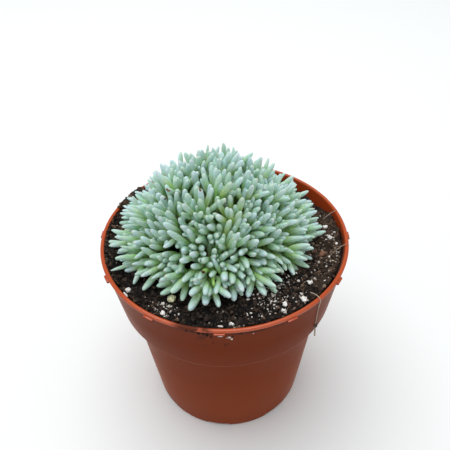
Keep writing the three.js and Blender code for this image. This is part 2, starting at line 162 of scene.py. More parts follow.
def new_finish(name, **constants):
    """A material, its shader and the place on the piece"""
    material = bpy.data.materials.new(name)
    material.use_nodes = True
    tree = material.node_tree
    shader = tree.nodes["Principled BSDF"]
    for socket, value in constants.items():
        shader.inputs[socket.replace("_", " ")].default_value = value
    return material, shader, Reading(tree, tree.nodes.new("ShaderNodeTexCoord").outputs["Object"])


def feed(shader, **readings):
    for socket, reading in readings.items():
        reading.tree.links.new(reading.socket, shader.inputs[socket.replace("_", " ")])


bpy.ops.mesh.primitive_plane_add(size=8)
floor = bpy.context.object
floor.name = "floor"
paper, shader, place = new_finish("floor_paper", Roughness=0.95)
feed(shader, Base_Color=place.grain(400).mix((0.875, 0.90, 0.905), (0.89, 0.915, 0.92)))
floor.data.materials.append(paper)


def soft_light(name, place, size, power):
    bpy.ops.object.light_add(type="AREA", location=place)
    light = bpy.context.object
    light.name = name
    light.data.shape = "DISK"
    light.data.size = size
    light.data.energy = power
    light.rotation_euler = (Vector((0, 0, 0.06)) - Vector(place)).to_track_quat("-Z", "Y").to_euler()


soft_light("key_light", (-0.17, 0.14, 1.1), 1.1, 7.4)
world = bpy.data.worlds.new("white_room")
world.use_nodes = True
world.node_tree.nodes["Background"].inputs["Color"].default_value = (1, 1, 1, 1)
world.node_tree.nodes["Background"].inputs["Strength"].default_value = 0.70
bpy.context.scene.world = world
bpy.context.scene.view_settings.view_transform = "Standard"


# The pot
# One injection-moulded shell of brick-red plastic, 90 mm across the rim. It has a thin rolled lip with
# twelve small lugs under it, a collar that steps in to the body, drain holes, and notches in the foot ring.
WALL_PROFILE = [
    (0, 2.6), (27.7, 2.6), (28.0, 1.2), (28.3, 0.2), (28.6, 0), (31.0, 0), (31.4, 0.2), (31.7, 0.7),
    (31.85, 1.4), (33.7, 18.7), (35.6, 37.0), (37.5, 55.2), (37.75, 55.75), (38.4, 56.05), (40.3, 56.35),
    (40.95, 56.75), (41.2, 57.4), (42.8, 68.8), (44.3, 79.5), (44.45, 79.85), (44.75, 80.0), (44.95, 80.15),
    (45, 80.4), (44.92, 80.7), (44.65, 80.92), (44.4, 81), (44.05, 81), (43.75, 80.85), (43.62, 80.55),
    (43.5, 80.0), (42.1, 71.2), (40.0, 57.8), (39.5, 57.1), (36.7, 56.5), (36.4, 55.8), (33.6, 31.2),
    (30.65, 4.9), (30.3, 4.2), (29.7, 3.9), (0, 3.9),
]
LUG_COUNT = 12
LUG_TURN = -3
NOTCH_COUNT = 8
NOTCH_TURN = -54
DRAIN_COUNT = 8
DRAIN_TURN = -31.5


def edit():
    bpy.ops.object.mode_set(mode="EDIT")
    bpy.ops.mesh.select_all(action="SELECT")


def leave_edit():
    bpy.ops.object.mode_set(mode="OBJECT")


def turned(name, profile, steps):
    """A shell of revolution: a point is drawn out along the profile and spun about the pot's axis"""
    bpy.ops.mesh.primitive_plane_add(size=MM, location=(0, 0, 0))
    piece = bpy.context.object
    piece.name = name
    edit()
    bpy.ops.mesh.merge(type="CENTER")
    here = Vector((0, 0, 0))
    for step, (radius, height) in enumerate(profile):
        there = Vector((radius, 0, height)) * MM
        if step == 0:
            bpy.ops.transform.translate(value=there)
        else:
            bpy.ops.mesh.extrude_region_move(TRANSFORM_OT_translate={"value": there - here})
        here = there
    bpy.ops.mesh.select_all(action="SELECT")
    bpy.ops.mesh.spin(steps=steps, angle=2 * math.pi, center=(0, 0, 0), axis=(0, 0, 1))
    bpy.ops.mesh.select_all(action="SELECT")
    bpy.ops.mesh.remove_doubles(threshold=0.004 * MM)
    bpy.ops.mesh.normals_make_consistent(inside=False)
    leave_edit()
    return piece


def only(piece):
    """Makes this the one piece that the next operator acts on"""
    bpy.ops.object.select_all(action="DESELECT")
    piece.select_set(True)
    bpy.context.view_layer.objects.active = piece


def apply_place(piece):
    only(piece)
    bpy.ops.object.transform_apply(location=True, rotation=True, scale=True)


def copy_of(piece):
    """A copy with its own mesh"""
    twin = piece.copy()
    twin.data = piece.data.copy()
    bpy.context.collection.objects.link(twin)
    return twin


def ring_of(piece, count, first):
    """The piece and its copies, evenly round the pot's axis"""
    twins = [piece] + [copy_of(piece) for _ in range(count - 1)]
    for step, twin in enumerate(twins):
        turn = Matrix.Rotation(math.radians(first + step * 360 / count), 4, "Z")
        twin.data.transform(turn)
    return joined(twins, piece.name)


def joined(pieces, name):
    bpy.ops.object.select_all(action="DESELECT")
    for piece in pieces:
        piece.select_set(True)
    bpy.context.view_layer.objects.active = pieces[0]
    bpy.ops.object.join()
    pieces[0].name = name
    return pieces[0]


def modify(piece, kind, **settings):
    """Adds a modifier and applies it"""
    only(piece)
    modifier = piece.modifiers.new(kind.lower(), kind)
    for name, value in settings.items():
        setattr(modifier, name, value)
    bpy.ops.object.modifier_apply(modifier=modifier.name)


def cut(piece, cutter):
    modify(piece, "BOOLEAN", operation="DIFFERENCE", solver="EXACT", object=cutter)
    bpy.data.objects.remove(cutter)


pot = turned("pot_shell", WALL_PROFILE, 180)


def soft_box(middle, size, bevel):
    bpy.ops.mesh.primitive_cube_add(size=1, location=Vector(middle) * MM, scale=Vector(size) * MM)
    box = bpy.context.object
    apply_place(box)
    modify(box, "BEVEL", width=bevel * MM, segments=2)
    return box


notch = soft_box((29.7, 0, 0.4), (6, 9, 2.2), 0.35)
cut(pot, ring_of(notch, NOTCH_COUNT, NOTCH_TURN))

drain_place = Vector((21, 0, 3.3)) * MM
bpy.ops.mesh.primitive_cylinder_add(vertices=24, radius=2.6 * MM, depth=4 * MM, location=drain_place)
drain = bpy.context.object
apply_place(drain)
cut(pot, ring_of(drain, DRAIN_COUNT, DRAIN_TURN))

lug = soft_box((44.6, 0, 79.7), (2.0, 3.6, 0.8), 0.25)
pot = joined([pot, ring_of(lug, LUG_COUNT, LUG_TURN)], "pot_shell")
only(pot)
bpy.ops.object.shade_smooth_by_angle(angle=math.radians(38))

plastic, shader, place = new_finish(
    "brick_red_plastic", Specular_IOR_Level=0.02, Coat_Roughness=0.16, Sheen_Weight=0.2,
    Sheen_Roughness=0.2, Sheen_Tint=(1, 0.68, 0.55, 1),
)
across = place.part(0)
front = (place.part(1) * -1).between(30, 40)
height = place.part(2)
flat_place = place.node("ShaderNodeVectorMath", {"operation": "MULTIPLY"}, {0: place, 1: (1, 1, 0)})
away = flat_place.node("ShaderNodeVectorMath", {"operation": "LENGTH"}, {0: flat_place}, 1) * (1 / MM)
clouds = place.grain(14, 4, 0.6)
smudges = place.grain(2.2, 5, 0.7)
smears = place.grain(4.5, 2)
scuffs = place.grain(1.3, 3).between(0.6, 0.85)

# Outside, the wall is painted a little lighter towards the foot, as painted light bounced up from the floor,
# and the lip is painted the brightest, as painted light from above and through the thin plastic
upper = (height + 6 * clouds).between(2, 74)
deep = clouds.mix((0.130, 0.022, 0.0055), (0.166, 0.029, 0.0075))
foot = clouds.mix((0.20, 0.041, 0.014), (0.24, 0.050, 0.017))
wall = (scuffs * 0.12).mix(upper.mix(foot, deep), (0.26, 0.08, 0.04))
thin = height.between(79.75, 80.1)
lip = clouds.mix((0.41, 0.062, 0.013), (0.49, 0.080, 0.019))
outside = thin.mix(wall, lip)

# Inside, mud clings above the soil, most at the left and hardly any at the back right. Where it is clean,
# the inside is painted bright orange like the lip, as painted light through the thin plastic
inside = height.between(60, 61) * (1 - height.between(80.2, 80.7))
inside = inside * (1 - (away - 0.155 * height).between(31.35, 31.5))
washed = across.between(6, 20) * place.part(1).between(2, 12)
muddy = smudges - 0.09 * (height - 79) + 0.2 * (across * -1).between(28, 38) - 0.6 * washed
mud_over_lit_plastic = muddy.between(0.42, 0.62).mix((0.35, 0.050, 0.012), (0.055, 0.026, 0.017))

# At the front, grime has run over the lip and dripped down the collar, and the band under the lip is painted
# shade together with grime gathered there
shade_and_dirt_under_lip = height.between(77.2, 79.0) * (1 - thin) * across.between(-22, -13) * (1 - across.between(14, 24))
shade_and_dirt_under_lip = shade_and_dirt_under_lip * (0.5 + 0.5 * smears.between(0.42, 0.58))
spread = (across + 3) * (across + 3) * 0.012 + (height - 73) * (height - 73) * 0.03
drips = (1 - spread.between(0.4, 1)) * smears.between(0.56, 0.7) * 0.7
on_lip = thin * across.between(-19, -14) * (1 - across.between(-7, -3)) * smears.between(0.40, 0.56) * 0.85
dirt_and_shade = front * (shade_and_dirt_under_lip * 0.9 + drips + on_lip)
feed(
    shader,
    Base_Color=dirt_and_shade.mix(inside.mix(outside, mud_over_lit_plastic), (0.045, 0.014, 0.008)),
    Roughness=0.34 + 0.22 * clouds,
    Coat_Weight=(0.5 + 0.5 * front) * thin * (1 - dirt_and_shade),
    Normal=(0.7 * place.grain(0.9, 2) + 0.3 * clouds).bump(0.03),
)
pot.data.materials.clear()
pot.data.materials.append(plastic)
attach(pot, "root")
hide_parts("pot")


# The soil
# Dark peat that fills the pot to 2 mm below the rim, smooth under the plant and lumpy towards the wall. It
# has a hollow at the back right, a heap at the back left, a bank at the left and a bed for each large grain.
SOIL_LEVEL = 79.2
SOIL_EDGE = 42.3
PLANT_X = -2.8
PLANT_Y = 1.7
HOLLOW_X = 33
HOLLOW_Y = 24
HEAP_X = -36
HEAP_Y = 22.5
BANK_Y = 3


def smooth_step(value, low, high):
    share = min(1, max(0, (value - low) / (high - low)))
    return share * share * (3 - 2 * share)


def soil_lump(x, y):
    """How far the top lies above its level at a place, both in millimetres"""
    rough = smooth_step(math.hypot(x - PLANT_X, y - PLANT_Y), 16, 26)
    wave = math.sin(1.31 * x + 2.1) * math.cos(1.17 * y - 0.6)
    wave += math.sin(0.83 * y + 1.9 * x + 0.4) + 0.8 * math.cos(2.3 * y - 1.1 * x)
    sunk = 2.8 * (1 - smooth_step(math.hypot(x - HOLLOW_X, y - HOLLOW_Y), 5, 20))
    heap = 1.5 * (1 - smooth_step(math.hypot(x - HEAP_X, y - HEAP_Y), 3, 10))
    bank = 1.2 * smooth_step(-x, 34, 40) * (1 - smooth_step(abs(y - BANK_Y), 12, 24))
    return rough * (0.21 * wave - sunk) + max(heap, bank)


grain_spots = []
for node, piece in frame["nodes"].items():
    if node.startswith(("perlite", "bark_chip")):
        corners = [vertex.co / MM for vertex in piece.data.vertices]
        grain_spots.append((sum(corners, Vector()) / len(corners), max(piece.dimensions) / MM / 2))


def clear_of_grains(x, y, margin):
    return all(math.hypot(x - spot.x, y - spot.y) > radius + margin for spot, radius in grain_spots)


soil_rings = [(43.0 - 0.5 * step, SOIL_LEVEL) for step in range(1, 63)]
soil = turned(
    "soil_body",
    [
        (0, 4.25), (29.4, 4.25), (33.1, 32), (35.9, 55.6), (39.3, 57.7), (42.0, 75),
        *soil_rings, (6, SOIL_LEVEL), (0, SOIL_LEVEL),
    ],
    420,
)
top = soil.vertex_groups.new(name="top")
for vertex in soil.data.vertices:
    x, y, z = vertex.co / MM
    if z > SOIL_LEVEL - 0.1:
        vertex.co.z += soil_lump(x, y) * MM
        top.add([vertex.index], 1, "REPLACE")
for size, strength in ((5.5, 2.0), (2.2, 2.4), (0.9, 1.3)):
    lumps = bpy.data.textures.new("lumps", "CLOUDS")
    lumps.noise_scale = size * MM
    lumps.noise_depth = 1
    modify(
        soil, "DISPLACE", texture=lumps, texture_coords="LOCAL", direction="Z", strength=strength * MM,
        mid_level=0.5, vertex_group="top",
    )
for vertex in soil.data.vertices:
    x, y, z = vertex.co / MM
    for spot, radius in grain_spots:
        bed = spot.z - 0.4 * radius
        if z > SOIL_LEVEL - 6 and z > bed:
            beside = smooth_step(math.hypot(x - spot.x, y - spot.y) - radius, 0.2, 1.6)
            vertex.co.z = (bed * (1 - beside) + z * beside) * MM
            z = vertex.co.z / MM
only(soil)
bpy.ops.object.shade_smooth()

peat, shader, place = new_finish("peat", Roughness=0.95, Specular_IOR_Level=0.25)
fine_lumps = place.cells(0.9)
clods = place.grain(4.5, 5, 0.7)
specks = place.grain(0.55, 2).between(0.62, 0.72)
wet = clods.between(0.4, 0.75).mix((0.003, 0.0025, 0.0025), (0.012, 0.008, 0.006))
dry = clods.between(0.35, 0.7).mix((0.012, 0.008, 0.006), (0.075, 0.052, 0.036))
dark = (place.part(0) + 14 * (clods - 0.5)).between(24, 36).mix(wet, dry)
feed(
    shader,
    Base_Color=(specks * 0.7).mix(dark, (0.08, 0.052, 0.038)),
    Normal=(0.6 * fine_lumps + 0.4 * place.grain(0.4, 3)).bump(0.5),
)
soil.data.materials.append(peat)
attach(soil, "root")
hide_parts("soil")


# The loose crumbs on the soil
# Peat crumbs of every size, from black to tan, all over the open soil. The sections after this one scatter
# their own crumbs in the same way.
draws = random.Random(41)
soil_faces = [tuple(face.vertices) for face in soil.data.polygons]
soil_tree = BVHTree.FromPolygons([vertex.co for vertex in soil.data.vertices], soil_faces)


def soil_place(x, y):
    """The point of the soil's top under a place in millimetres"""
    return soil_tree.ray_cast(Vector((x * MM, y * MM, 0.1)), Vector((0, 0, -1)))[0]


def any_turn():
    axis = Vector((draws.gauss(0, 1), draws.gauss(0, 1), draws.gauss(0, 1))).normalized()
    return Matrix.Rotation(draws.uniform(0, 2 * math.pi), 4, axis)


def mark(mesh, name, value):
    """One value for a whole copy, which its material reads"""
    values = mesh.attributes.new(name, "FLOAT", "POINT")
    values.data.foreach_set("value", [value] * len(mesh.vertices))


def crumb_model(name, seed, rough):
    bpy.ops.mesh.primitive_ico_sphere_add(subdivisions=1, radius=1)
    crumb = bpy.context.object
    crumb.name = name
    edit()
    bpy.ops.transform.vertex_random(offset=rough, uniform=0.0, normal=0.6, seed=seed)
    leave_edit()
    return crumb


def scatter(name, models, places, sizes, flat, tones, ground=soil_place):
    """Copies of the models on the ground, each turned its own way and sunk by about a third"""
    copies = []
    for x, y in places:
        if not clear_of_grains(x, y, 0.3):
            continue
        twin = copy_of(models[len(copies) % len(models)])
        size = sizes() * MM / 2
        shape = Matrix.Diagonal((draws.uniform(0.8, 1.3), draws.uniform(0.7, 1), draws.uniform(0.5, 0.9), 1))
        lower = Matrix.Diagonal((1, 1, flat, 1))
        move = Matrix.Translation(ground(x, y) + Vector((0, 0, 0.35 * size * flat)))
        twin.data.transform(move @ lower @ Matrix.Scale(size, 4) @ any_turn() @ shape)
        mark(twin.data, "tone", tones(x, y))
        copies.append(twin)
    for model in models:
        bpy.data.objects.remove(model)
    return joined(copies, name)


def ring_places(count, inner, outer):
    """Places in the open ring of soil between the plant and the wall"""
    found = []
    while len(found) < count:
        x = draws.uniform(-outer, outer)
        y = draws.uniform(-outer, outer)
        if math.hypot(x, y) < outer and math.hypot(x - PLANT_X, y - PLANT_Y) > inner:
            found.append((x, y))
    return found


crumbs = scatter(
    "peat_crumbs",
    [crumb_model("crumb", seed, 0.35) for seed in (3, 5, 8)],
    ring_places(3900, 22, SOIL_EDGE),
    lambda: 0.4 + 1.7 * draws.random() ** 3.2,
    0.8,
    lambda x, y: draws.random() * (1 - 0.2 * smooth_step(-y - 0.6 * x, 12, 30)),
)
crumb_finish, shader, place = new_finish("peat_crumb", Roughness=0.95, Specular_IOR_Level=0.25)
tone = place.attribute("tone")
colour = tone.node("ShaderNodeValToRGB", {"stops": [
    (0.0, (0.005, 0.004, 0.004)), (0.5, (0.016, 0.011, 0.009)), (0.72, (0.05, 0.03, 0.021)),
    (0.88, (0.13, 0.075, 0.048)), (0.96, (0.26, 0.17, 0.12)), (1.0, (0.45, 0.36, 0.28)),
]}, {"Fac": tone})
feed(
    shader,
    Base_Color=place.grain(0.5, 3).between(0.3, 0.8).mix(colour, (0.05, 0.035, 0.026)),
    Normal=place.grain(0.3, 3).bump(0.15),
)
crumbs.data.materials.append(crumb_finish)
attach(crumbs, "root")


# The dry bits
# Paler crumbs, brown to tan, thickest at the right, where the soil has dried. A few more lie at the front
# right and the left.
def side_places(count, toward, width, inner, outer):
    """Places gathered round one direction from the pot's axis, in degrees"""
    found = []
    for _ in range(count):
        turn = math.radians(draws.gauss(toward, width))
        away = draws.uniform(inner, outer)
        found.append((away * math.cos(turn), away * math.sin(turn)))
    return found


dry_bits = scatter(
    "dry_bits",
    [crumb_model("bit", seed, 0.4) for seed in (4, 6)],
    side_places(520, -8, 17, 30, SOIL_EDGE) + side_places(90, -50, 14, 32, SOIL_EDGE)
    + side_places(90, 178, 14, 34, SOIL_EDGE),
    lambda: 0.35 + 1.4 * draws.random() ** 2.5,
    0.8,
    lambda x, y: 0.74 + 0.26 * draws.random(),
)
dry_bits.data.materials.append(crumb_finish)
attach(dry_bits, "root")


# The soil spilt over the lip
# A low heap of crumbs that runs from the soil over the back left of the lip.
SPILL_TURN = 148.5
SPILL_REACH = 11


def over_lip(x, y):
    """A point in the heap, which follows the lip up and over"""
    away = math.hypot(x, y)
    rise = 1.5 * smooth_step(away, 40, 43.4) * draws.uniform(0.75, 1)
    fall = 0.3 * smooth_step(away, 43.8, 44.9)
    return Vector((x, y, 80.0 + rise - fall)) * MM


def in_spill(x, y):
    return abs(math.degrees(math.atan2(y, x)) - SPILL_TURN) < SPILL_REACH


spilt = scatter(
    "spilt_soil",
    [crumb_model("crumb", seed, 0.35) for seed in (7, 11)],
    [(x, y) for x, y in side_places(420, SPILL_TURN, 5, 40, 44.5) if in_spill(x, y)],
    lambda: 0.6 + 1.1 * draws.random() ** 2,
    0.85,
    lambda x, y: 0.4 + 0.57 * draws.random() ** 0.8,
    over_lip,
)
spilt.data.materials.append(crumb_finish)
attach(spilt, "root")


# The soil on the wall
# Crumbs that stick to the inside of the lip, thick and pale at the left, and thinner and darker along the
# front.
def at_wall(x, y):
    """A point where soil sticks to the inside of the lip"""
    return Vector((x, y, draws.uniform(79.8, 80.9))) * MM


stuck = scatter(
    "soil_on_the_wall",
    [crumb_model("crumb", seed, 0.35) for seed in (13, 17)],
    side_places(200, 183, 13, 42.5, 43.5) + side_places(130, -100, 28, 42.5, 43.3),
    lambda: 0.4 + 0.9 * draws.random() ** 2,
    0.85,
    lambda x, y: draws.random() ** (0.6 if x < -30 else 1.6),
    at_wall,
)
stuck.data.materials.append(crumb_finish)
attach(stuck, "root")


# The perlite dust
# White specks on the soil, thickest at the front right and the right, with a cluster at the front left and
# a few all round.
dust = scatter(
    "perlite_dust",
    [crumb_model("speck", seed, 0.25) for seed in (2, 9)],
    side_places(230, -58, 13, 27, 41) + side_places(110, -63, 5, 31, 38) + side_places(130, -12, 15, 32, 42)
    + side_places(70, -119, 4, 37, 42) + ring_places(70, 24, 42),
    lambda: 0.28 + 0.85 * draws.random() ** 3,
    0.9,
    lambda x, y: draws.random(),
)
dust_finish, shader, place = new_finish("perlite_dust", Roughness=0.9)
feed(
    shader,
    Base_Color=place.attribute("tone").mix((0.36, 0.31, 0.27), (0.82, 0.79, 0.74)),
    Normal=place.grain(0.2, 2).bump(0.06),
)
dust.data.materials.append(dust_finish)
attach(dust, "root")


# The root fibres
# Thin curved threads that lie about on the soil, brown to pale, and two pale ones that poke out over the
# lip at the right.
def strand_model(steps):
    """A straight four-sided bit of fibre along X, 1 long, that laid_strand bends and scales"""
    bpy.ops.mesh.primitive_circle_add(vertices=4, radius=1, fill_type="NGON", rotation=(0, math.pi / 2, 0))
    strand = bpy.context.object
    apply_place(strand)
    edit()
    for _ in range(steps):
        bpy.ops.mesh.extrude_region_move(TRANSFORM_OT_translate={"value": (1 / steps, 0, 0)})
    bpy.ops.mesh.select_all(action="DESELECT")
    bpy.ops.mesh.select_non_manifold()
    bpy.ops.mesh.edge_face_add()
    bpy.ops.mesh.select_all(action="SELECT")
    bpy.ops.mesh.normals_make_consistent(inside=False)
    leave_edit()
    return strand


def on_route(route, share):
    """A point of the smooth line through the places of a route"""
    step = min(int(share * (len(route) - 1)), len(route) - 2)
    before, start, end, after = (route[min(max(step + k, 0), len(route) - 1)] for k in (-1, 0, 1, 2))
    t = share * (len(route) - 1) - step
    return (
        2 * start + (end - before) * t + (2 * before - 5 * start + 4 * end - after) * t * t
        + (3 * start - before - 3 * end + after) * t * t * t
    ) / 2


def laid_strand(model, route, girths, tone):
    """A copy of the strand laid along a route in millimetres, as thick as its girths say"""
    twin = copy_of(model)
    route = [Vector(place) * MM for place in route]
    for vertex in twin.data.vertices:
        share, side, up = vertex.co
        ahead = (on_route(route, min(1, share + 0.01)) - on_route(route, max(0, share - 0.01))).normalized()
        first = ahead.cross(Vector((0.3, 0.2, 1))).normalized()
        place = share * (len(girths) - 1)
        here = girths[int(place)]
        there = girths[min(int(place) + 1, len(girths) - 1)]
        girth = here + (there - here) * (place % 1)
        vertex.co = on_route(route, share) + (first * side + first.cross(ahead) * up) * girth * MM
    mark(twin.data, "tone", tone)
    return twin


strand = strand_model(7)
strands = []
for x, y in ring_places(230, 24, 40.5) + side_places(110, -5, 18, 31, 41):
    length = draws.uniform(1.5, 6)
    turn = draws.uniform(0, 2 * math.pi)
    bend = draws.gauss(0, 0.9)
    route = []
    for share in (0, 0.33, 0.67, 1):
        heading = turn + bend * (share - 0.5)
        px = x + (share - 0.5) * length * math.cos(heading)
        py = y + (share - 0.5) * length * math.sin(heading)
        inside = min(1, SOIL_EDGE / max(1, math.hypot(px, py)))
        ground = soil_place(px * inside, py * inside) / MM
        route.append(ground + Vector((0, 0, 0.12 + 0.5 * share * (1 - share) + draws.uniform(0, 0.3))))
    girth = draws.uniform(0.04, 0.13)
    strands.append(laid_strand(strand, route, (0.6 * girth, girth, 0.5 * girth), draws.random()))
for route in (
    [(37.4, 6.4, 80.3), (39.5, 7.9, 81.2), (41.2, 9.1, 81.5), (43.4, 10.6, 81.2)],
    [(37.9, -11.9, 80.3), (39.8, -10.7, 81.2), (41.5, -9.5, 81.5), (43.7, -8.2, 81.2)],
):
    strands.append(laid_strand(strand, route, (0.08, 0.13, 0.1), 1))
bpy.data.objects.remove(strand)
fibres = joined(strands, "root_fibres")
fibre_finish, shader, place = new_finish("root_fibre", Roughness=0.8, Specular_IOR_Level=0.3)
tone = place.attribute("tone")
colour = tone.node("ShaderNodeValToRGB", {"stops": [
    (0.0, (0.03, 0.018, 0.012)), (0.6, (0.10, 0.055, 0.03)), (0.9, (0.32, 0.20, 0.12)),
    (1.0, (0.66, 0.56, 0.46)),
]}, {"Fac": tone})
feed(
    shader,
    Base_Color=place.grain(0.8, 2).mix(colour, (0.09, 0.055, 0.035)),
    Normal=place.grain(0.15).bump(0.02),
)
fibres.data.materials.append(fibre_finish)
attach(fibres, "root")


# A stray root that hangs over the lip at the front right
# A dry pale thread, washed out of the soil, that runs down the collar to a dark knot with a bleached end.
def on_collar(turn, away, level):
    """A place from its direction in degrees, its distance from the pot's axis and its height"""
    return (away * math.cos(math.radians(turn)), away * math.sin(math.radians(turn)), level)


strand = strand_model(30)
thread_route = [
    on_collar(-46.8, 40.2, 79.9), on_collar(-47.4, 42.8, 81.1), on_collar(-47.9, 44.4, 81.2),
    on_collar(-48.2, 45.2, 80.6), on_collar(-48.2, 45.0, 79.0), on_collar(-46.4, 43.9, 74.5),
    on_collar(-44.6, 42.9, 68.0), on_collar(-42.9, 42.1, 62.4),
]
thread = laid_strand(strand, thread_route, (0.14, 0.2, 0.17, 0.19, 0.15, 0.2), 1)
knot_route = [on_collar(-43.0, 42.1, 63.4), on_collar(-42.6, 42.2, 61.8), on_collar(-42.9, 42.1, 60.4)]
knot = laid_strand(strand, knot_route, (0.1, 0.65, 0.75, 0.45, 0.2), 0.1)
end_route = [on_collar(-42.8, 42.1, 61.0), on_collar(-42.5, 42.1, 58.4), on_collar(-42.3, 42.2, 55.6)]
bleached = laid_strand(strand, end_route, (0.3, 0.38, 0.42, 0.36), 1)
bpy.data.objects.remove(strand)
stray_root = joined([thread, knot, bleached], "stray_root")
stray_root.data.materials.append(fibre_finish)
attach(stray_root, "root")


# The pale splashes and the highlight on the front lug
# Flat chips of perlite that stick to the collar under the front lip, and two at the lip's inner edge, in
# front and at the front left.
# A long white flake on the lug under the front lip is a painted highlight.
chips = []
for turn, level, away, length, height, tone in (
    # The first, a long white flake on the lug under the front lip, is a painted highlight on the lug
    (-92.6, 79.5, 45.35, 2.6, 0.6, 0.9), (-89.1, 76.9, 44.0, 1.1, 0.9, 0.5),
    (-88.2, 75.9, 43.9, 0.7, 0.7, 0.8), (-90.1, 76.5, 43.9, 0.6, 0.5, 0.2),
    (-79.3, 77.6, 44.0, 0.7, 0.5, 0.3), (-92.7, 80.6, 42.7, 1.7, 1.1, 0.9),
    (-138.4, 81.1, 43.5, 2.4, 0.8, 0.9),
):
    chip = crumb_model("chip", int(90 * level) % 97, 0.35)
    place = Matrix.Translation(Vector(on_collar(turn, away, level)) * MM)
    facing = Matrix.Rotation(math.radians(turn + 90), 4, "Z")
    chip.data.transform(place @ facing @ Matrix.Diagonal((length * MM / 2, 0.3 * MM, height * MM / 2, 1)))
    mark(chip.data, "tone", tone)
    chips.append(chip)
splashes = joined(chips, "pale_splashes")
splashes.data.materials.append(dust_finish)
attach(splashes, "root")


# The dark splashes
# Crumbs of soil that stick to the collar under the front lip, most of them left of its middle.
crumbs_on_wall = []
for turn, level, away, size in (
    (-98.0, 77.9, 44.1, 1.0), (-96.5, 76.9, 43.9, 0.8), (-101.2, 78.6, 44.2, 1.1), (-104.0, 78.9, 44.2, 0.8),
    (-91.0, 72.0, 43.2, 0.5), (-95.9, 73.2, 43.4, 0.5), (-99.5, 78.4, 44.2, 0.9), (-95.0, 78.2, 44.2, 0.8),
    (-106.5, 78.9, 44.2, 0.9), (-87.6, 77.2, 44.0, 0.6), (-84.0, 78.3, 44.1, 0.7),
):
    crumb = crumb_model("crumb", int(70 * level) % 89, 0.35)
    place = Matrix.Translation(Vector(on_collar(turn, away, level)) * MM)
    crumb.data.transform(place @ Matrix.Scale(size * MM / 2, 4))
    mark(crumb.data, "tone", 0.3)
    crumbs_on_wall.append(crumb)
dark_splashes = joined(crumbs_on_wall, "dark_splashes")
dark_splashes.data.materials.append(crumb_finish)
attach(dark_splashes, "root")


# The large grains of perlite and the bark chips
# Each is sunk by about a third in its own bed. Perlite is a white popped glass full of fine pits, and one
# grain of it is cream. Bark is a flat red-brown chip.
def merged_copy(node, name):
    """A copy of a node's mesh with its loose triangles joined up"""
    piece = bpy.data.objects.new(name, frame["nodes"][node].data.copy())
    bpy.context.collection.objects.link(piece)
    piece.data.materials.clear()
    only(piece)
    bpy.ops.mesh.customdata_custom_splitnormals_clear()
    edit()
    bpy.ops.mesh.remove_doubles(threshold=0.001 * MM)
    leave_edit()
    return piece


perlite_finish, shader, place = new_finish(
    "perlite", Roughness=0.9, Subsurface_Weight=0.1, Subsurface_Radius=(0.0006, 0.0006, 0.0006),
)
# The fine pits are painted darker than the glass round them, as painted shade in the pits
pits = place.cells(0.55).between(0.1, 0.5)
popped = (pits * (0.5 + place.grain(1.2, 3))).mix((0.55, 0.51, 0.45), (0.92, 0.91, 0.88))
feed(
    shader,
    Base_Color=place.attribute("tone").mix(popped, (0.90, 0.90, 0.50)),
    Normal=(pits + 0.5 * place.grain(0.4, 3)).bump(0.22),
)
bark_finish, shader, place = new_finish("bark", Roughness=0.9, Specular_IOR_Level=0.3)
streaks = place.node("ShaderNodeMapping", {}, {"Vector": place, "Scale": (0.3, 1, 1)}).grain(0.7, 4, 0.7)
feed(
    shader,
    Base_Color=streaks.between(0.3, 0.7).mix((0.10, 0.042, 0.024), (0.36, 0.19, 0.12)),
    Normal=streaks.bump(0.25),
)

for node in sorted(frame["nodes"]):
    if not node.startswith(("perlite", "bark_chip")):
        continue
    grain = merged_copy(node, node + "_fine")
    modify(grain, "SUBSURF", subdivision_type="SIMPLE", levels=2, render_levels=2)
    middle = sum((vertex.co for vertex in grain.data.vertices), Vector()) / len(grain.data.vertices)
    size = max(grain.dimensions)
    for vertex in grain.data.vertices:
        out = vertex.co - middle
        knob = noise.noise(vertex.co / (0.42 * size)) * 0.44 + noise.noise(vertex.co / (0.17 * size)) * 0.2
        vertex.co = middle + out * (0.96 + knob)
    only(grain)
    bpy.ops.object.shade_smooth()
    stone = node.startswith("perlite")
    mark(grain.data, "tone", 0.75 if node == "perlite_cream" else 0)
    grain.data.materials.append(perlite_finish if stone else bark_finish)
    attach(grain, "root")
    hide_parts(node)


# The plant
# A cushion of short branching stems. Every shoot holds six large finger leaves and nine young or low ones,
# and more grow in the gaps. A leaf is a plump rod, green at its foot and blue-grey with a waxy bloom beyond.
CUSHION_RADIUS = 38
LEAF_TIPS_ABOVE = 78.5
YOUNG_HEART = Vector((2.3, -15.5, 106)) * MM

# The girth of a leaf at shares of its length, and the share at which it bends
FINGER = [(0, 0.8), (0.2, 0.92), (0.42, 1), (0.62, 1), (0.8, 0.93), (0.92, 0.72), (0.98, 0.38)]
FINGER_SIDES = 8
WAIST = 0.55

bpy.ops.mesh.primitive_circle_add(vertices=FINGER_SIDES, radius=FINGER[0][1], fill_type="NGON")
finger = bpy.context.object
finger.name = "finger_leaf"
edit()
for (share, girth), (next_share, next_girth) in zip(FINGER, FINGER[1:]):
    bpy.ops.mesh.extrude_region_move(TRANSFORM_OT_translate={"value": (0, 0, next_share - share)})
    bpy.ops.transform.resize(value=(next_girth / girth, next_girth / girth, 1))
bpy.ops.mesh.extrude_region_move(TRANSFORM_OT_translate={"value": (0, 0, 1 - FINGER[-1][0])})
bpy.ops.mesh.merge(type="CENTER")
bpy.ops.mesh.select_all(action="DESELECT")
bpy.ops.mesh.select_non_manifold()
bpy.ops.mesh.edge_face_add()
bpy.ops.mesh.select_all(action="SELECT")
bpy.ops.mesh.normals_make_consistent(inside=False)
leave_edit()
bpy.ops.object.shade_smooth()

leaf_draws = random.Random(5)


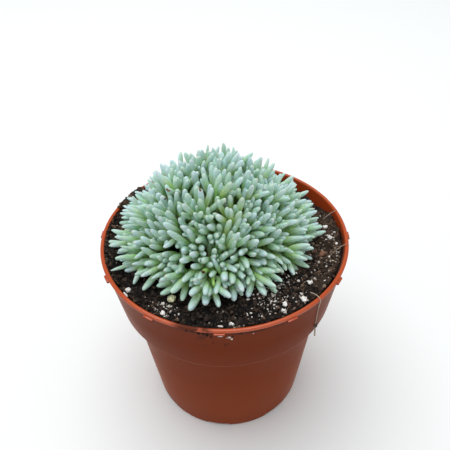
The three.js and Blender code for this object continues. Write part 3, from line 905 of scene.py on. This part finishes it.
def leaf_of(root, waist, tip, radius, inward, tone, fresh, taper=0.0):
    """A copy of the finger bent from its root through its waist to its tip"""
    twin = copy_of(finger)

    def point(share):
        return (
            root * ((share - WAIST) * (share - 1) / WAIST)
            + waist * (share * (share - 1) / (WAIST * (WAIST - 1)))
            + tip * (share * (share - WAIST) / (1 - WAIST))
        )

    shares = [vertex.co.z for vertex in twin.data.vertices]
    for vertex, share in zip(twin.data.vertices, shares):
        ahead = (point(share + 0.02) - point(share - 0.02)).normalized()
        side = (inward - ahead * inward.dot(ahead)).normalized()
        across = ahead.cross(side)
        flat = 0.88 if vertex.co.x > 0 else 1
        girth = radius * (1 - taper * max(0, share - 0.45))
        vertex.co = point(share) + girth * (side * vertex.co.x * flat + across * vertex.co.y)
    values = twin.data.attributes.new("along", "FLOAT", "POINT")
    values.data.foreach_set("value", shares)
    mark(twin.data, "tone", tone)
    mark(twin.data, "fresh", fresh)
    return twin


def read_leaves(piece):
    """The leaves of a merged branch, from each tip with four neighbours down its shoulder, waist and foot"""
    neighbours ={vertex.index: set() for vertex in piece.data.vertices}
    for edge in piece.data.edges:
        first, second = edge.vertices
        neighbours[first].add(second)
        neighbours[second].add(first)
    found = []
    for tip, shoulder in neighbours.items():
        if len(shoulder) != 4 or piece.data.vertices[tip].co.z < LEAF_TIPS_ABOVE * MM:
            continue
        waist = set().union(*(neighbours[k] for k in shoulder)) - shoulder - {tip}
        foot = set().union(*(neighbours[k] for k in waist)) - shoulder - waist - {tip}
        if len(waist) == 4 and len(foot) == 4:
            found.append((tip, sorted(shoulder), sorted(waist), sorted(foot)))
    return found


def middle_of(piece, indices):
    return sum((piece.data.vertices[k].co for k in indices), Vector()) / len(indices)


leaf_finish, shader, place = new_finish(
    "waxy_leaf", Subsurface_Weight=0.2, Subsurface_Scale=0.003, Sheen_Weight=0.12, Sheen_Roughness=0.4,
)
along = place.attribute("along")
tone = place.attribute("tone")
fresh = place.attribute("fresh")
papillae = place.cells(0.42).between(0.15, 0.5)
patches = place.grain(2.2, 3)
# Leaves towards the back are painted paler and bluer, as painted light on the far side of the cushion
behind = place.part(1).between(-22, 20)
bloom = behind.mix(
    tone.mix((0.36, 0.60, 0.45), (0.50, 0.70, 0.74)), tone.mix((0.46, 0.74, 0.64), (0.59, 0.82, 0.88)),
)
green = tone.mix((0.22, 0.50, 0.10), (0.36, 0.60, 0.18))
height_on_leaf = along + 0.3 * (patches - 0.5)
skin_colour = height_on_leaf.between(0.24, 0.9).mix(green, bloom)
# Pale specks are mixed in: on the raised papillae they are painted glints, and elsewhere they are fine pale
# dots
dots = place.grain(0.75, 2).between(0.45, 0.7)
speckled_with_glints = (0.25 * (1 - papillae) + 0.3 * dots).mix(skin_colour, (0.74, 0.87, 0.87))
young = (fresh * (1 - 0.75 * along.between(0.4, 0.85))).mix(speckled_with_glints, (0.46, 0.60, 0.16))
# The tips are painted paler, as a painted highlight on them
tips_with_painted_highlight = (along.between(0.86, 1.0) * 0.16).mix(young, (0.78, 0.86, 0.82))
feed(
    shader,
    Base_Color=tips_with_painted_highlight,
    Roughness=0.5 + 0.2 * patches,
    Normal=((1 - papillae) + 0.6 * patches).bump(0.09),
)

stem_finish, shader, place = new_finish(
    "stem_skin", Roughness=0.6, Subsurface_Weight=0.08, Subsurface_Scale=0.002,
)
green_above = (place.part(2) + 4 * place.grain(2, 3)).between(80, 88)
feed(
    shader,
    Base_Color=green_above.mix((0.16, 0.14, 0.06), (0.34, 0.60, 0.16)),
    Normal=place.grain(0.6, 3).bump(0.12),
)


def out_share(point):
    """0 in the middle of the cushion and 1 at its fringe"""
    return min(1, math.hypot(point.x / MM - PLANT_X, point.y / MM - PLANT_Y) / CUSHION_RADIUS)


# Each CAD leaf is read, to be grown again finer, and is then shrunk to a stub inside the finer one
stems = {}
leaves = []
for node in sorted(frame["nodes"]):
    if not node.startswith("leafy_branch"):
        continue
    stem = merged_copy(node, "stem")
    stems[node] = stem
    read = read_leaves(stem)
    uses = {}
    for _, _, _, foot in read:
        for k in foot:
            uses[k] = uses.get(k, 0) + 1
    for tip, shoulder, waist, foot in read:
        hub = max(foot, key=lambda k: uses[k])
        waist_place = middle_of(stem, waist)
        leaves.append({
            "node": node,
            "hub": hub,
            "hub_place": stem.data.vertices[hub].co.copy(),
            "foot": middle_of(stem, foot),
            "waist": waist_place,
            "tip": stem.data.vertices[tip].co.copy(),
            "radius": sum((stem.data.vertices[k].co - waist_place).length for k in waist) / 4,
        })
    for tip, shoulder, waist, foot in read:
        foot_place = middle_of(stem, foot)
        waist_place = middle_of(stem, waist)
        for group, share, girth in ((waist, 0.3, 0.75), (shoulder, 0.46, 0.55), ([tip], 0.56, 0)):
            middle = middle_of(stem, group)
            for k in group:
                vertex = stem.data.vertices[k]
                vertex.co = foot_place.lerp(waist_place, share) + (vertex.co - middle) * girth


# Where three neighbouring tips leave room between them, one more leaf grows in their mean direction
def clearance(point, tips):
    return min((point - other).length for other in tips)


def gap_leaves(reach, inner_room, fringe_room):
    """More leaves for the places that are too far from every tip, the widest first"""
    near = KDTree(len(leaves))
    for k, leaf in enumerate(leaves):
        near.insert(leaf["tip"], k)
    near.balance()
    places = []
    for k, leaf in enumerate(leaves):
        around = sorted(other for _, other, _ in near.find_range(leaf["tip"], reach) if other > k)
        for first in around:
            for second in around:
                if second <= first or (leaves[first]["tip"] - leaves[second]["tip"]).length > reach:
                    continue
                three = [leaf, leaves[first], leaves[second]]
                point = sum((one["tip"] for one in three), Vector()) / 3
                free = (near.find(point)[0] - point).length
                room = inner_room + (fringe_room - inner_room) * out_share(point) ** 3
                if free > room:
                    places.append((-free, k, first, second, point, room))
    made = []
    for _, k, first, second, point, room in sorted(places, key=lambda place: place[:4]):
        if made and clearance(point, [one["tip"] for one in made]) < room:
            continue
        three = [leaves[k], leaves[first], leaves[second]]
        new = {}
        for name in ("hub_place", "foot", "tip"):
            new[name] = sum((one[name] for one in three), Vector()) / 3
        ahead = (new["tip"] - new["foot"]).normalized()
        new["foot"] -= ahead * 2 * MM
        new["tip"] -= ahead * leaf_draws.uniform(-0.2, 1.4 + 2.2 * out_share(point) ** 2) * MM
        new["waist"] = new["foot"].lerp(new["tip"], WAIST)
        new["radius"] = sum(one["radius"] for one in three) / 3
        new["node"] = leaves[k]["node"]
        new["hub"] = None
        made.append(new)
    return made


leaves += gap_leaves(8 * MM, 2.8 * MM, 3.4 * MM)
leaves += gap_leaves(11 * MM, 3.0 * MM, 3.8 * MM)

# Leaves are plumper in front and at the fringe, and more pointed at the fringe and behind
for node, stem in stems.items():
    copies = []
    shoots = {}
    for leaf in leaves:
        if leaf["node"] != node:
            continue
        if leaf["hub"] is not None:
            shoots.setdefault(leaf["hub"], []).append(leaf)
        longer = leaf_draws.uniform(0.94, 1.06)
        sway = Vector((leaf_draws.gauss(0, 1), leaf_draws.gauss(0, 1), leaf_draws.gauss(0, 1))) * 0.45 * MM
        outward = out_share(leaf["tip"])
        north = leaf["tip"].y / MM
        front = smooth_step(-north, 20, 38) - smooth_step(north, 0, 30)
        girth = leaf["radius"] * (0.75 + 0.06 * outward + 0.07 * front) * leaf_draws.uniform(0.92, 1.08)
        slender = smooth_step(outward, 0.5, 0.95) + smooth_step(north, -8, 18)
        from_heart = smooth_step((leaf["tip"] - YOUNG_HEART).length / MM, 4, 12)
        copies.append(leaf_of(
            leaf["foot"],
            leaf["foot"] + (leaf["waist"] - leaf["foot"]) * longer + 0.3 * sway,
            leaf["foot"] + (leaf["tip"] - leaf["foot"]) * longer + sway,
            girth,
            leaf["hub_place"] - leaf["waist"],
            leaf_draws.random(),
            leaf_draws.uniform(0, 0.15) + 0.75 * (1 - from_heart),
            0.75 * max(0, min(1, slender) - max(0, front)) * leaf_draws.uniform(0.6, 1.2),
        ))
    for held in shoots.values():
        hub_place = held[0]["hub_place"]
        axis = (sum((leaf["tip"] for leaf in held), Vector()) / len(held) - hub_place).normalized()
        for _ in range(5):
            turn = Matrix.Rotation(leaf_draws.uniform(0, 2 * math.pi), 3, axis)
            spread = turn @ axis.orthogonal().normalized()
            root = hub_place - axis * leaf_draws.uniform(1.5, 4.0) * MM
            heading = (axis * leaf_draws.uniform(0.7, 1.3) + spread).normalized()
            length = leaf_draws.uniform(8, 10) * MM
            copies.append(leaf_of(
                root,
                root + heading * length * WAIST - axis * 0.3 * MM,
                root + heading * length + axis * 0.5 * MM,
                leaf_draws.uniform(0.9, 1.15) * MM,
                axis - 0.3 * spread,
                leaf_draws.random(),
                0.2 + 0.5 * leaf_draws.random(),
            ))
        aside = axis.orthogonal().normalized()
        aside.rotate(Matrix.Rotation(leaf_draws.uniform(0, math.pi), 3, axis))
        for length, radius, lean, side in (
            (7.4, 1.0, 1.5, aside), (6.8, 0.95, 1.4, -aside),
            (5.0, 0.75, 0.8, axis.cross(aside)), (4.8, 0.75, 0.75, -axis.cross(aside)),
        ):
            length *= leaf_draws.uniform(0.85, 1.1)
            root = hub_place - axis * 0.4 * MM
            copies.append(leaf_of(
                root, root + (axis * length * 0.5 + side * lean * 0.9) * MM,
                root + (axis * length + side * lean) * MM,
                radius * MM, -side, leaf_draws.random(), 0.2 + 0.4 * leaf_draws.random(),
            ))
    modify(stem, "SUBSURF", levels=1, render_levels=1)
    only(stem)
    bpy.ops.object.shade_smooth()
    stem.data.materials.append(stem_finish)
    for twin in copies:
        twin.data.materials.append(leaf_finish)
    branch = joined([stem, *copies], node + "_fine")
    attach(branch, "root")
    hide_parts(node)
bpy.data.objects.remove(finger)


# The withered scraps
# Dry tips and bits of old leaf, tan to dark brown. Each lies on the leaf nearest to the camera about its
# place.
leaf_faces = []
leaf_points = []
for piece in bpy.data.objects:
    if piece.name.startswith("leafy_branch") and piece.name.endswith("_fine"):
        first = len(leaf_points)
        leaf_points += [vertex.co for vertex in piece.data.vertices]
        leaf_faces += [[first + k for k in face.vertices] for face in piece.data.polygons]
leaf_tree = BVHTree.FromPolygons(leaf_points, leaf_faces)
scraps = []
for x, y, z, length, tone in (
    (-18.4, -7.0, 106.5, 1.9, 0.97), (-17.3, -9.9, 105.8, 1.5, 0.93), (-6.5, -11.1, 109.9, 1.3, 0.95),
    (-6.2, -29.7, 91.3, 1.5, 0.78), (-8.6, -27.5, 93.6, 1.2, 0.6), (-5.7, -30.4, 90.6, 1.0, 0.62),
):
    eye = camera.matrix_world.translation
    hits = []
    for aside in (-1.2, -0.6, 0, 0.6, 1.2):
        for up in (-1.2, -0.6, 0, 0.6, 1.2):
            aim = Vector((x + aside, y, z + up)) * MM
            hits.append(leaf_tree.ray_cast(eye, (aim - eye).normalized()))
    place, facing, _, _ = min((hit for hit in hits if hit[0]), key=lambda hit: hit[3])
    scrap = crumb_model("scrap", int(90 * z) % 83, 0.45)
    lie = facing.to_track_quat("Z", "Y").to_matrix().to_4x4()
    turn = Matrix.Rotation(draws.uniform(0, 2 * math.pi), 4, "Z")
    shape = Matrix.Diagonal((length * MM / 2, 0.3 * length * MM, 0.3 * MM, 1))
    scrap.data.transform(Matrix.Translation(place) @ lie @ turn @ shape)
    mark(scrap.data, "tone", tone)
    scraps.append(scrap)
withered = joined(scraps, "withered_scraps")
withered.data.materials.append(crumb_finish)
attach(withered, "root")
